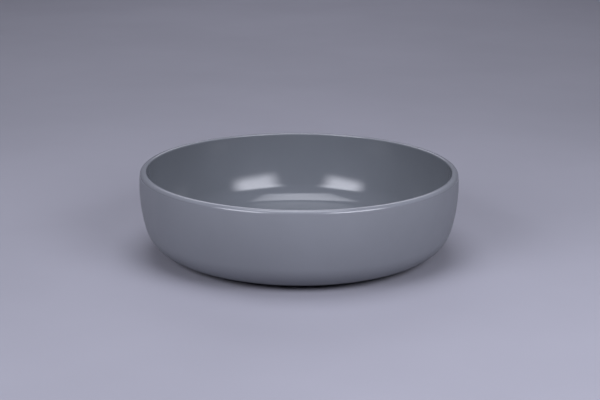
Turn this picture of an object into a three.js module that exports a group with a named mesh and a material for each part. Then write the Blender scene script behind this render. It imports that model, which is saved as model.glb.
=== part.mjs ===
// A round, shallow bowl that stands on a soft non-slip ring pressed into a groove in its foot.
// Millimetres, +Z up. The origin is on the bowl's axis, at the level of the table under the ring.
import * as THREE from 'three';

// Driving dimensions
const WIDEST_RADIUS = 110;        // outside, where the wall stands vertical
const RIM_HEIGHT = 58.2;          // rim above the table
const WALL = 4.6;                 // wall thickness at the rim
const STAND_HEIGHT = 2.5;         // lowest line of the rounded heel above the table
const FLOOR_THICKNESS = 4;        // between the heel's level and the inside floor

// Outside and inside outlines: a heel arc up to the slope heelEndDeg, then a slack wall arc
// that ends vertical
const OUTER_SIDE = { heelRadius: 22.5, heelEndDeg: 74.4, wallRadius: 106 };
const INNER_SIDE = { heelRadius: 22, heelEndDeg: 70, wallRadius: 101.7 };
const LIP_RADIUS = 106;           // above its widest line the outside curves in to the rim
const LIP_LEAN_DEG = 4.3;         // and leans in this far where the rim begins
const RIM_OUTER_ROUND = 2.8;      // rounding of the rim's outer corner
const RIM_INNER_ROUND = 1;        // rounding of the rim's inner corner

// Foot: a low ring moulded under the base, with a groove in its face
const RING_HEIGHT = 2.8;          // section of the soft ring
const RING_WIDTH = 4;
const RING_PROUD = 1.1;           // how far the soft ring stands out of the foot
const RING_EDGE = 0.5;            // bevel of the soft ring's edges on the table
const RING_GAP = 0.3;             // room between the soft ring and the groove
const FOOT_MIDDLE_RADIUS = 75;    // middle line of the foot, the groove and the soft ring
const FOOT_WIDTH = 8;
const FOOT_EDGE = 0.5;            // bevel of the foot's edges
const BASE_RECESS = 0.5;          // the base inside the foot is set in by this much

// Fineness of the round shapes
const TURNS = 72;                 // steps around the axis
const HEEL_STEPS = 10;
const WALL_STEPS = 3;
const LIP_STEPS = 3;
const ROUND_STEPS = 3;

const radians = THREE.MathUtils.degToRad;

// Continues an outline with an arc whose slope turns from one angle to the other.
function addArc(outline, radius, fromDeg, toDeg, steps) {
  const start = outline[outline.length - 1];
  const from = radians(fromDeg);
  const to = radians(toDeg);
  for (let i = 1; i <= steps; i += 1) {
    const slope = from + ((to - from) * i) / steps;
    const x = start.x + radius * (Math.sin(slope) - Math.sin(from));
    const y = start.y + radius * (Math.cos(from) - Math.cos(slope));
    outline.push(new THREE.Vector2(x, y));
  }
}

// The heel and wall arcs of a side, from the flat base outwards and up, ending vertical at endRadius.
function sideOutline(side, endRadius, baseHeight) {
  const heelEnd = Math.sin(radians(side.heelEndDeg));
  const run = side.heelRadius * heelEnd + side.wallRadius * (1 - heelEnd);
  const outline = [new THREE.Vector2(endRadius - run, baseHeight)];
  addArc(outline, side.heelRadius, 0, side.heelEndDeg, HEEL_STEPS);
  addArc(outline, side.wallRadius, side.heelEndDeg, 90, WALL_STEPS);
  return outline;
}

// Underside of the base from the axis out to the heel, with the foot and its groove.
function undersideOutline() {
  const footFace = RING_PROUD;
  const footInside = FOOT_MIDDLE_RADIUS - FOOT_WIDTH / 2;
  const footOutside = FOOT_MIDDLE_RADIUS + FOOT_WIDTH / 2;
  const grooveInside = FOOT_MIDDLE_RADIUS - RING_WIDTH / 2 - RING_GAP;
  const grooveOutside = FOOT_MIDDLE_RADIUS + RING_WIDTH / 2 + RING_GAP;
  const grooveTop = RING_HEIGHT + RING_GAP;
  return [
    [0, STAND_HEIGHT + BASE_RECESS],
    [footInside - FOOT_EDGE, STAND_HEIGHT + BASE_RECESS],
    [footInside, footFace + FOOT_EDGE],
    [footInside + FOOT_EDGE, footFace],
    [grooveInside, footFace],
    [grooveInside, grooveTop],
    [grooveOutside, grooveTop],
    [grooveOutside, footFace],
    [footOutside - FOOT_EDGE, footFace],
    [footOutside, footFace + FOOT_EDGE],
    [footOutside, STAND_HEIGHT],
  ].map(([x, y]) => new THREE.Vector2(x, y));
}

function bowlOutline() {
  const outline = undersideOutline();
  outline.push(...sideOutline(OUTER_SIDE, WIDEST_RADIUS, STAND_HEIGHT));

  const lean = radians(LIP_LEAN_DEG);
  const rimStart = RIM_HEIGHT - RIM_OUTER_ROUND * (1 - Math.sin(lean));
  outline.push(new THREE.Vector2(WIDEST_RADIUS, rimStart - LIP_RADIUS * Math.sin(lean)));
  addArc(outline, LIP_RADIUS, 90, 90 + LIP_LEAN_DEG, LIP_STEPS);
  addArc(outline, RIM_OUTER_ROUND, 90 + LIP_LEAN_DEG, 180, ROUND_STEPS);
  const rimInside = WIDEST_RADIUS - LIP_RADIUS * (1 - Math.cos(lean)) - WALL;
  outline.push(new THREE.Vector2(rimInside + RIM_INNER_ROUND, RIM_HEIGHT));
  addArc(outline, RIM_INNER_ROUND, 180, 270, ROUND_STEPS);

  const floorHeight = STAND_HEIGHT + FLOOR_THICKNESS;
  outline.push(...sideOutline(INNER_SIDE, rimInside, floorHeight).reverse());
  outline.push(new THREE.Vector2(0, floorHeight));
  return outline;
}

// The soft ring's section, closed on itself.
function ringOutline() {
  const inside = FOOT_MIDDLE_RADIUS - RING_WIDTH / 2;
  const outside = FOOT_MIDDLE_RADIUS + RING_WIDTH / 2;
  return [
    [inside + RING_EDGE, 0],
    [outside - RING_EDGE, 0],
    [outside, RING_EDGE],
    [outside, RING_HEIGHT],
    [inside, RING_HEIGHT],
    [inside, RING_EDGE],
    [inside + RING_EDGE, 0],
  ].map(([x, y]) => new THREE.Vector2(x, y));
}

// Turns an outline about the +Z axis and gives it a name and a material.
function turned(name, outline, material) {
  const geometry = new THREE.LatheGeometry(outline, TURNS);
  geometry.rotateX(Math.PI / 2);
  const mesh = new THREE.Mesh(geometry, material);
  mesh.name = name;
  return mesh;
}

const bowlGrey = new THREE.MeshStandardMaterial({ color: 0x7a7d87, roughness: 0.5, metalness: 0 });
const ringGrey = new THREE.MeshStandardMaterial({ color: 0x2b2c30, roughness: 0.8, metalness: 0 });

const bowl = new THREE.Group();
bowl.add(turned('bowl_body', bowlOutline(), bowlGrey));
bowl.add(turned('non_slip_ring', ringOutline(), ringGrey));

export default bowl;
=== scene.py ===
# A round, shallow moulded bowl on a soft non-slip ring, and the studio it stands in.
# Metres, +Z up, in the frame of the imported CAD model, which gives the outside sizes.
import math

import bmesh
import bpy
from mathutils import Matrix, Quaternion, Vector


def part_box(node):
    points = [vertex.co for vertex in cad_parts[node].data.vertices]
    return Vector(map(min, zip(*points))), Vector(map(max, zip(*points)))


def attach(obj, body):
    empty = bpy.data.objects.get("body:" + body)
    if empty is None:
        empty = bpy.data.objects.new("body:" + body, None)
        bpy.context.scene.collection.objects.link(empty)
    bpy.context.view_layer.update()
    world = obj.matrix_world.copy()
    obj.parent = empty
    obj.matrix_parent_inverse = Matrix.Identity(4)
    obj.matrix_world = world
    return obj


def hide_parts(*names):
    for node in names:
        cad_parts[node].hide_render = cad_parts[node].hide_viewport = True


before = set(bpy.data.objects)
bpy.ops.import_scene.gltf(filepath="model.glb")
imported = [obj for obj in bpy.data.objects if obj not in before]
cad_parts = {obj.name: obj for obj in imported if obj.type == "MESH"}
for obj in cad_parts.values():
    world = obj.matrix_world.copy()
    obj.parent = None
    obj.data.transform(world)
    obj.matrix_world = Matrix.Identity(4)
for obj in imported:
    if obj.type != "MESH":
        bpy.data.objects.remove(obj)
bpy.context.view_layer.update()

MM = 0.001

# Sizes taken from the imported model
bowl_low, bowl_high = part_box("bowl_body")
ring_low, ring_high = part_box("non_slip_ring")
WIDEST_RADIUS = bowl_high.x
RIM_HEIGHT = bowl_high.z
FOOT_FACE = bowl_low.z
RING_OUTSIDE = ring_high.x
RING_TOP = ring_high.z

# Sizes of the section, the same as in the CAD model
WALL = 4.6 * MM
STAND_HEIGHT = 2.5 * MM            # lowest line of the rounded heel above the table
FLOOR_THICKNESS = 4.0 * MM
OUTER_HEEL, OUTER_HEEL_END, OUTER_WALL = 22.5 * MM, 74.4, 106.0 * MM
INNER_HEEL, INNER_HEEL_END, INNER_WALL = 22.0 * MM, 70.0, 101.7 * MM
LIP_RADIUS, LIP_LEAN = 106.0 * MM, 4.3   # the outside curves in above its widest line
RIM_OUTER_ROUND = 2.8 * MM
RIM_INNER_ROUND = 1.0 * MM
BASE_RECESS = 0.5 * MM
FOOT_WIDTH = 8.0 * MM
RING_WIDTH = 4.0 * MM
RING_GAP = 0.3 * MM
FOOT_MIDDLE = RING_OUTSIDE - RING_WIDTH / 2

# Small rounds of the foot and the ring, finer than in the CAD model
FOOT_ROUND = 0.6 * MM              # rounding of the foot's edges
FOOT_FILLET = 0.5 * MM             # where the foot grows out of the base
RING_ROUND = 0.7 * MM
TREAD_RADIUS = 0.35 * MM           # groove along the face the ring stands on
TREAD_HALF_DEG = 60                # how far the groove's arc turns either side of its top

# Fineness of the meshes
TURNS = 360                        # steps around the axis
HEEL_STEPS = 44
WALL_STEPS = 26
LIP_STEPS = 8
ROUND_STEPS = 8
LONGEST = 9 * MM                   # longest step along a straight stretch
HOLD = 0.12 * MM                   # distance from a corner of the rings that keep flats flat

# Finish of a stretch of an outline: 0 is the satin outside, 1 the polished inside. The same
# number masks the inside's darker grey, which is painted shade
SATIN, RIM_FINISH, POLISHED = 0.0, 0.95, 1.0
GLOSS_FROM = 97                    # heading on the rim's outer corner where the gloss begins
UNWORN, RIM_WEAR, WORN = 0.0, 0.15, 1.0

# Colours of the materials
SATIN_GREY = (0.190, 0.198, 0.220)
# The inside's darker grey is painted shade, not a second pigment
INSIDE_GREY_PAINTED_SHADE = (0.136, 0.146, 0.164)
RUBBED_GREY = (0.30, 0.31, 0.34)
RUBBER = (0.022, 0.022, 0.025)
RUBBER_DUST = (0.10, 0.10, 0.105)
PAPER_DEEP = (0.290, 0.287, 0.330)
PAPER_PALE = (0.310, 0.306, 0.352)

# Melamine. The scales here and below are in cells of noise to the metre
MELAMINE_IOR = 1.5
CLOUDING_SCALE, CLOUDING = 22, (0.975, 1.025)
RUBBING_SCALE, RUBBING_MOST, RUBBING_ROUGHENS = 420, 0.5, 0.12
HANDLING_SCALE, SATIN_ROUGH = 34, (0.46, 0.54)
POLISH_SCALE, GLOSS_ROUGH = 28, (0.08, 0.10)
GRAIN_SCALES, GRAIN_HEIGHT = (2600, 900), 0.012 * MM
WAVE_SCALE, WAVE_HEIGHT = 95, 0.012 * MM
WIPING_ROUGHENS, WIPING_DEPTH = 0.05, 0.0006 * MM
# Wiping marks in two directions: scales along x, y and z, turn, and the noise that shows
WIPING = (((1400, 26, 60), 24, (0.66, 0.74)), ((30, 1700, 60), -17, (0.68, 0.76)))

# Silicone rubber
RUBBER_IOR = 1.43
DUST_SCALE, DUST_UNWORN, DUST_WORN = 260, 0.25, 0.8
RUBBER_ROUGH_SCALE, RUBBER_ROUGH = 120, (0.62, 0.78)
RUBBER_RELIEFS = ((3200, 0.02 * MM), (300, 0.04 * MM))    # scale and height, fine and coarse

# Studio paper
PAPER_IOR, PAPER_ROUGH = 1.4, 0.9
PAPER_CLOUD_SCALE = 3.5
FIBRE_SCALE, FIBRE_HEIGHT = 700, 0.06 * MM
NOISE_LOW, NOISE_HIGH = 0.3, 0.7   # nearly all of a noise's values lie between these

# Shape of the paper
SWEEP_FRONT = -3.0
SWEEP_START = 1.3                  # where it leaves the floor
SWEEP_RADIUS = 0.7
SWEEP_TOP = 3.0
SWEEP_HALF = 3.0                   # half its width
SWEEP_STEPS = 32

# Camera: millimetres of film and lens, degrees, and metres
SENSOR_WIDTH, LENS = 36.0, 85.02
CAMERA_PITCH, CAMERA_ROLL, CAMERA_DISTANCE = 15.636, 0.362, 0.9856
CAMERA_AIM = (0.73 * MM, 0.0, 34.91 * MM)

# Lamps
LAMP_COLOUR = (0.983, 1.0, 1.109)
ROOM_COLOUR, ROOM_STRENGTH = (0.35, 0.35, 0.42), 0.03
SOFTBOXES = (
    dict(
        name="key_right", around_deg=38.6, up_deg=28.6, distance=0.95, aim=(-0.035, 0.1, 0.03),
        size=(0.779, 0.494), power=10.3, soft=(0.342, 0.25),
    ),
    dict(
        name="key_left", around_deg=-39.5, up_deg=29.1, distance=1.35, aim=(0.035, 0.1, 0.03),
        size=(0.983, 0.666), power=17.9, soft=(0.343, 0.243),
    ),
    dict(
        name="behind", around_deg=180, up_deg=50, distance=1.3, aim=(0.0, 0.55, 0.0),
        size=(1.4, 0.9), power=12.0, soft=(0.3, 0.3),
    ),
    dict(
        name="overhead", around_deg=0, up_deg=90, distance=1.2, aim=(-0.042, -0.02, 0.012),
        size=(0.96, 0.77), power=10.5, soft=(0.10, 0.12), dome=0.7, turn_deg=8.0,
    ),
)


# ---------------------------------------------------------------- outlines

class Outline:
    """Points (radius, height, gloss, wear) of a section, from the underside out, up and in."""

    def __init__(self, radius, height):
        self.gloss, self.wear = SATIN, UNWORN
        self.points = []
        self.point(radius, height)

    def finish(self, gloss, wear):
        """The gloss and wear of the points that follow."""
        self.gloss, self.wear = gloss, wear

    def point(self, radius, height):
        self.points.append((radius, height, self.gloss, self.wear))

    def line(self, radius, height):
        """A straight stretch, with rings close to both ends that keep its shading flat."""
        r0, z0 = self.points[-1][:2]
        length = math.hypot(radius - r0, height - z0)
        stops = [1.0]
        if length > 3 * HOLD:
            count = math.ceil(length / LONGEST)
            even = [i / count for i in range(1, count)]
            stops = [HOLD / length, *even, 1 - HOLD / length, 1.0]
        for t in stops:
            self.point(r0 + (radius - r0) * t, z0 + (height - z0) * t)

    def arc(self, radius, from_deg, to_deg, steps):
        """An arc whose heading turns from one angle to the other: 0 is outwards, 90 is up."""
        r0, z0 = self.points[-1][:2]
        start, end = math.radians(from_deg), math.radians(to_deg)
        swing = math.copysign(radius, to_deg - from_deg)
        for i in range(1, steps + 1):
            heading = start + (end - start) * i / steps
            self.point(
                r0 + swing * (math.sin(heading) - math.sin(start)),
                z0 + swing * (math.cos(start) - math.cos(heading)),
            )


def side_size(heel, heel_end, wall):
    """How far a side's heel and wall arcs reach outwards and upwards, ending vertical."""
    out, up = math.sin(math.radians(heel_end)), math.cos(math.radians(heel_end))
    return heel * out + wall * (1 - out), heel * (1 - up) + wall * up


def bowl_outline():
    base = STAND_HEIGHT + BASE_RECESS
    foot_in, foot_out = FOOT_MIDDLE - FOOT_WIDTH / 2, FOOT_MIDDLE + FOOT_WIDTH / 2
    groove_in = FOOT_MIDDLE - RING_WIDTH / 2 - RING_GAP
    groove_out = FOOT_MIDDLE + RING_WIDTH / 2 + RING_GAP
    groove_top = RING_TOP + RING_GAP

    # Base inside the foot, then the foot with its groove
    o = Outline(0.0, base)
    o.line(foot_in - FOOT_FILLET, base)
    o.arc(FOOT_FILLET, 0, -90, ROUND_STEPS)
    o.line(foot_in, FOOT_FACE + FOOT_ROUND)
    o.finish(SATIN, WORN)
    o.arc(FOOT_ROUND, -90, 0, ROUND_STEPS)
    o.line(groove_in, FOOT_FACE)
    o.finish(SATIN, UNWORN)
    o.line(groove_in, groove_top)
    o.line(groove_out, groove_top)
    o.line(groove_out, FOOT_FACE)
    o.finish(SATIN, WORN)
    o.line(foot_out - FOOT_ROUND, FOOT_FACE)
    o.arc(FOOT_ROUND, 0, 90, ROUND_STEPS)
    o.finish(SATIN, UNWORN)
    o.line(foot_out, STAND_HEIGHT - FOOT_FILLET)
    o.arc(FOOT_FILLET, 90, 0, ROUND_STEPS)

    # Outside: flat rest of the base, heel, slack wall, and the lip that leans in
    run, _ = side_size(OUTER_HEEL, OUTER_HEEL_END, OUTER_WALL)
    lean = math.radians(LIP_LEAN)
    rim_start = RIM_HEIGHT - RIM_OUTER_ROUND * (1 - math.sin(lean))
    rim_inside = WIDEST_RADIUS - LIP_RADIUS * (1 - math.cos(lean)) - WALL
    o.line(WIDEST_RADIUS - run, STAND_HEIGHT)
    o.arc(OUTER_HEEL, 0, OUTER_HEEL_END, HEEL_STEPS)
    o.arc(OUTER_WALL, OUTER_HEEL_END, 90, WALL_STEPS)
    o.line(WIDEST_RADIUS, rim_start - LIP_RADIUS * math.sin(lean))
    o.arc(LIP_RADIUS, 90, 90 + LIP_LEAN, LIP_STEPS)

    # Rim, glossy from part of the way round its outer corner
    o.arc(RIM_OUTER_ROUND, 90 + LIP_LEAN, GLOSS_FROM, ROUND_STEPS)
    o.finish(RIM_FINISH, RIM_WEAR)
    o.arc(RIM_OUTER_ROUND, GLOSS_FROM, 180, 2 * ROUND_STEPS)
    o.line(rim_inside + RIM_INNER_ROUND, RIM_HEIGHT)
    o.arc(RIM_INNER_ROUND, 180, 270, 2 * ROUND_STEPS)

    # Inside, walked down to the middle of the floor
    o.finish(POLISHED, UNWORN)
    floor = STAND_HEIGHT + FLOOR_THICKNESS
    _, rise = side_size(INNER_HEEL, INNER_HEEL_END, INNER_WALL)
    o.line(rim_inside, floor + rise)
    o.arc(INNER_WALL, 270, 180 + INNER_HEEL_END, WALL_STEPS)
    o.arc(INNER_HEEL, 180 + INNER_HEEL_END, 180, HEEL_STEPS)
    o.line(0.0, floor)
    return o.points


def ring_outline():
    inside, outside = FOOT_MIDDLE - RING_WIDTH / 2, FOOT_MIDDLE + RING_WIDTH / 2
    tread_half = TREAD_RADIUS * math.sin(math.radians(TREAD_HALF_DEG))
    o = Outline(inside, RING_ROUND)
    o.finish(SATIN, WORN)
    o.arc(RING_ROUND, -90, 0, ROUND_STEPS)
    o.line(FOOT_MIDDLE - tread_half, 0.0)
    o.arc(TREAD_RADIUS, TREAD_HALF_DEG, -TREAD_HALF_DEG, ROUND_STEPS)
    o.line(outside - RING_ROUND, 0.0)
    o.arc(RING_ROUND, 0, 90, ROUND_STEPS)
    o.finish(SATIN, UNWORN)
    o.line(outside, RING_TOP)
    o.line(inside, RING_TOP)
    o.line(inside, RING_ROUND + HOLD)
    return o.points


# ---------------------------------------------------------------- meshes

def placed(name, data):
    """A new object with this mesh, lamp or camera, in the scene."""
    made = bpy.data.objects.new(name, data)
    bpy.context.scene.collection.objects.link(made)
    return made


def placed_mesh(name, bm):
    mesh = bpy.data.meshes.new(name)
    bm.to_mesh(mesh)
    bm.free()
    return placed(name, mesh)


def turned(name, points, closed=False):
    """A solid of revolution about the Z axis. The points' gloss and wear stay on the mesh."""
    bm = bmesh.new()
    gloss = bm.verts.layers.float.new("gloss")
    wear = bm.verts.layers.float.new("wear")
    angles = [2 * math.pi * k / TURNS for k in range(TURNS)]
    rings = []
    for radius, height, shine_and_painted_shade, rub in points:
        ring = []
        for a in angles if radius > 0 else angles[:1]:
            vert = bm.verts.new((radius * math.cos(a), radius * math.sin(a), height))
            vert[gloss], vert[wear] = shine_and_painted_shade, rub
            ring.append(vert)
        rings.append(ring)
    pairs = list(zip(rings, rings[1:]))
    if closed:
        pairs.append((rings[-1], rings[0]))
    for low, high in pairs:
        for k in range(TURNS):
            n = (k + 1) % TURNS
            corners = [low[k % len(low)], low[n % len(low)]]
            corners += [high[n % len(high)], high[k % len(high)]]
            bm.faces.new(list(dict.fromkeys(corners))).smooth = True
    bmesh.ops.recalc_face_normals(bm, faces=bm.faces)
    return placed_mesh(name, bm)


# ---------------------------------------------------------------- materials

class Nodes:
    """A node tree. Each call adds one node or a few and gives back the main output."""

    def __init__(self, tree):
        self.tree = tree

    def add(self, kind, sockets, out=0, **settings):
        made = self.tree.nodes.new("ShaderNode" + kind)
        for key, value in settings.items():
            setattr(made, key, value)
        for socket, value in sockets.items():
            self.put(made.inputs[socket], value)
        return made.outputs[out]

    def put(self, socket, value):
        if isinstance(value, bpy.types.NodeSocket):
            self.tree.links.new(value, socket)
        else:
            socket.default_value = value

    def place(self):
        """Where a point is on the object, in metres."""
        return self.add("TexCoord", {}, "Object")

    def attribute(self, name):
        return self.add("Attribute", {}, "Fac", attribute_name=name)

    def stretched(self, vector, scale, turn_deg=0.0):
        turn = (0.0, 0.0, math.radians(turn_deg))
        return self.add("Mapping", {"Vector": vector, "Scale": scale, "Rotation": turn})

    def noise(self, vector, scale, detail=2.0, rough=0.5):
        sockets = {"Vector": vector, "Scale": scale, "Detail": detail, "Roughness": rough}
        return self.add("TexNoise", sockets, "Fac")

    def between(self, value, low, high, to_low=0.0, to_high=1.0):
        """value rescaled from low..high to to_low..to_high, and held inside it."""
        sockets = {"Value": value, "From Min": low, "From Max": high}
        sockets |= {"To Min": to_low, "To Max": to_high}
        return self.add("MapRange", sockets, "Result", interpolation_type="SMOOTHSTEP")

    def math(self, operation, a, b, c=0.0):
        return self.add("Math", {0: a, 1: b, 2: c}, operation=operation)

    def blend(self, factor, a, b):
        """Between two numbers."""
        return self.add("Mix", {"Factor": factor, "A": a, "B": b}, "Result")

    def tint(self, factor, a, b, blend_type="MIX"):
        """Between two colours, which are the sixth and seventh inputs of the Mix node."""
        sockets = {0: factor}
        for socket, colour in ((6, a), (7, b)):
            sockets[socket] = (*colour, 1.0) if isinstance(colour, tuple) else colour
        return self.add("Mix", sockets, 2, data_type="RGBA", blend_type=blend_type)

    def bump(self, height, distance, normal=None):
        sockets = {"Height": height, "Distance": distance, "Strength": 1.0}
        if normal is not None:
            sockets["Normal"] = normal
        return self.add("Bump", sockets)

    def split(self, vector):
        """The three parts of a vector."""
        return self.add("SeparateXYZ", {"Vector": vector}).node.outputs[:]


class Surface(Nodes):
    """The nodes of one material."""

    def __init__(self, name):
        self.material = bpy.data.materials.new(name)
        self.material.use_nodes = True
        super().__init__(self.material.node_tree)

    def finish(self, sockets):
        """Sets the shader's sockets and gives back the material."""
        for socket, value in sockets.items():
            self.put(self.tree.nodes["Principled BSDF"].inputs[socket], value)
        return self.material


def bowl_material():
    """Mid grey melamine: satin outside, polished inside and on the rim, the inside coloured a
    darker grey as painted shade, and rubbed on the foot and a little on the rim."""
    m = Surface("moulded_melamine")
    place, gloss, wear = m.place(), m.attribute("gloss"), m.attribute("wear")

    # Colour: the inside a darker grey as painted shade, faint clouding of the moulding, and
    # pale rubbing where the bowl touches things
    cloud = m.noise(place, CLOUDING_SCALE, 4, 0.55)
    pigment_and_painted_shade = m.tint(m.between(gloss, RIM_FINISH, POLISHED), SATIN_GREY, INSIDE_GREY_PAINTED_SHADE)
    clouding = m.between(cloud, NOISE_LOW, NOISE_HIGH, *CLOUDING)
    body = m.tint(1.0, pigment_and_painted_shade, clouding, "MULTIPLY")
    rub_spots = m.between(m.noise(place, RUBBING_SCALE, 5, 0.65), 0.5, 0.68)
    rubbed = m.math("MULTIPLY", rub_spots, m.math("MULTIPLY", wear, RUBBING_MOST))
    colour = m.tint(rubbed, body, RUBBED_GREY)

    # Roughness: the two finishes, with handling marks outside and fine wiping marks inside
    handling = m.between(m.noise(place, HANDLING_SCALE, 5, 0.6), 0.3, 0.75)
    satin = m.between(handling, 0, 1, *SATIN_ROUGH)
    wiped = []
    for scale, turn_deg, shows in WIPING:
        lines = m.noise(m.stretched(place, scale, turn_deg), 1, 3, 0.6)
        wiped.append(m.between(lines, *shows))
    marks = m.math("MAXIMUM", *wiped)
    clean = m.between(m.noise(place, POLISH_SCALE, 3), NOISE_LOW, NOISE_HIGH, *GLOSS_ROUGH)
    polished = m.math("MULTIPLY_ADD", marks, WIPING_ROUGHENS, clean)
    rough = m.blend(gloss, satin, polished)
    rough = m.math("MULTIPLY_ADD", rubbed, RUBBING_ROUGHENS, rough)

    # Relief: satin texture of the mould outside, a barely wavy polish with marks inside
    grain = m.blend(0.5, *(m.noise(place, scale) for scale in GRAIN_SCALES))
    matt = m.math("SUBTRACT", 1.0, gloss)
    relief = m.bump(m.math("MULTIPLY", grain, matt), GRAIN_HEIGHT)
    relief = m.bump(m.noise(place, WAVE_SCALE, 1), WAVE_HEIGHT, relief)
    relief = m.bump(m.math("MULTIPLY", marks, gloss), -WIPING_DEPTH, relief)
    sockets = {"Base Color": colour, "Roughness": rough, "Normal": relief}
    return m.finish({**sockets, "IOR": MELAMINE_IOR})


def ring_material():
    """Dark silicone rubber, dusty where it is worn."""
    m = Surface("silicone_rubber")
    place, wear = m.place(), m.attribute("wear")
    dust = m.between(m.noise(place, DUST_SCALE, 5, 0.65), 0.45, 0.7)
    most = m.between(wear, UNWORN, WORN, DUST_UNWORN, DUST_WORN)
    colour = m.tint(m.math("MULTIPLY", dust, most), RUBBER, RUBBER_DUST)
    blotches = m.noise(place, RUBBER_ROUGH_SCALE, 3)
    rough = m.between(blotches, NOISE_LOW, NOISE_HIGH, *RUBBER_ROUGH)
    relief = None
    for scale, height in RUBBER_RELIEFS:
        relief = m.bump(m.noise(place, scale, 3), height, relief)
    sockets = {"Base Color": colour, "Roughness": rough, "Normal": relief}
    return m.finish({**sockets, "IOR": RUBBER_IOR})


def paper_material():
    """The plain pale seamless paper of the studio."""
    m = Surface("studio_paper")
    place = m.place()
    cloud = m.between(m.noise(place, PAPER_CLOUD_SCALE, 4, 0.55), NOISE_LOW, NOISE_HIGH)
    colour = m.tint(cloud, PAPER_DEEP, PAPER_PALE)
    relief = m.bump(m.noise(place, FIBRE_SCALE, 4, 0.6), FIBRE_HEIGHT)
    sockets = {"Base Color": colour, "Roughness": PAPER_ROUGH, "Normal": relief}
    return m.finish({**sockets, "IOR": PAPER_IOR})


# ---------------------------------------------------------------- studio

def camera():
    """A long lens, looking down on the bowl a little, with the horizon a touch off level."""
    data = bpy.data.cameras.new("camera")
    data.sensor_width, data.lens = SENSOR_WIDTH, LENS
    seen = placed("camera", data)
    pitch, roll = math.radians(CAMERA_PITCH), math.radians(CAMERA_ROLL)
    aim = Vector(CAMERA_AIM)
    seen.location = aim + Vector((0.0, -math.cos(pitch), math.sin(pitch))) * CAMERA_DISTANCE
    forward = (aim - seen.location).normalized()
    seen.rotation_mode = "QUATERNION"
    seen.rotation_quaternion = Quaternion(forward, -roll) @ forward.to_track_quat("-Z", "Y")
    bpy.context.scene.camera = seen


def paper_sweep():
    """A floor that curves up into a backdrop well behind the bowl."""
    section = [(SWEEP_FRONT, 0.0), (SWEEP_START, 0.0)]
    for i in range(1, SWEEP_STEPS + 1):
        a = math.pi / 2 * i / SWEEP_STEPS
        y, z = SWEEP_START + SWEEP_RADIUS * math.sin(a), SWEEP_RADIUS * (1 - math.cos(a))
        section.append((y, z))
    section.append((SWEEP_START + SWEEP_RADIUS, SWEEP_TOP))
    bm = bmesh.new()
    rows = [[bm.verts.new((x, y, z)) for x in (-SWEEP_HALF, SWEEP_HALF)] for y, z in section]
    for near, far in zip(rows, rows[1:]):
        bm.faces.new((near[0], near[1], far[1], far[0])).smooth = True
    sweep = placed_mesh("paper_sweep", bm)
    sweep.data.materials.append(paper_material())


def room_light():
    world = bpy.data.worlds.new("room")
    world.use_nodes = True
    background = world.node_tree.nodes["Background"]
    background.inputs["Color"].default_value = (*ROOM_COLOUR, 1.0)
    background.inputs["Strength"].default_value = ROOM_STRENGTH
    bpy.context.scene.world = world


def softbox(name, around_deg, up_deg, distance, aim, size, power, soft, dome=0.0, turn_deg=0.0):
    """A rectangular lamp aimed at a point. around_deg is measured from the camera's side.
    soft is the share of its width and height over which each edge fades, and dome how much
    dimmer than its middle its two ends are."""
    lamp = bpy.data.lights.new(name, "AREA")
    lamp.shape = "RECTANGLE"
    lamp.size, lamp.size_y = size
    lamp.energy = power
    lamp.color = LAMP_COLOUR
    lamp.use_nodes = True
    nodes = Nodes(lamp.node_tree)
    across, along, _ = nodes.split(nodes.add("NewGeometry", {}, "Parametric"))
    off_middle = nodes.math("MULTIPLY_ADD", across, 2.0, -1.0)
    squared = nodes.math("MULTIPLY", off_middle, off_middle)
    glow = nodes.math("MULTIPLY_ADD", squared, -dome, 1.0)
    for share, fade in ((across, soft[0]), (along, soft[1])):
        edge = nodes.math("MINIMUM", share, nodes.math("SUBTRACT", 1.0, share))
        glow = nodes.math("MULTIPLY", glow, nodes.between(edge, 0.0, fade))
    nodes.put(lamp.node_tree.nodes["Emission"].inputs["Strength"], glow)
    around, up = math.radians(around_deg), math.radians(up_deg)
    level = math.cos(up)
    way = Vector((math.sin(around) * level, -math.cos(around) * level, math.sin(up)))
    holder = placed(name, lamp)
    holder.location = Vector(aim) + way * distance
    turn = Quaternion(way, math.radians(turn_deg))
    holder.rotation_euler = (turn @ (-way).to_track_quat("-Z", "Y")).to_euler()


# ---------------------------------------------------------------- scene

bpy.context.scene.view_settings.view_transform = "Standard"
bpy.context.scene.view_settings.look = "None"

camera()
paper_sweep()
room_light()
for lamp in SOFTBOXES:
    softbox(**lamp)

bowl = turned("bowl", bowl_outline())
bowl.data.materials.append(bowl_material())
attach(bowl, "root")
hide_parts("bowl_body")

ring = turned("foot_ring", ring_outline(), closed=True)
ring.data.materials.append(ring_material())
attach(ring, "root")
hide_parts("non_slip_ring")
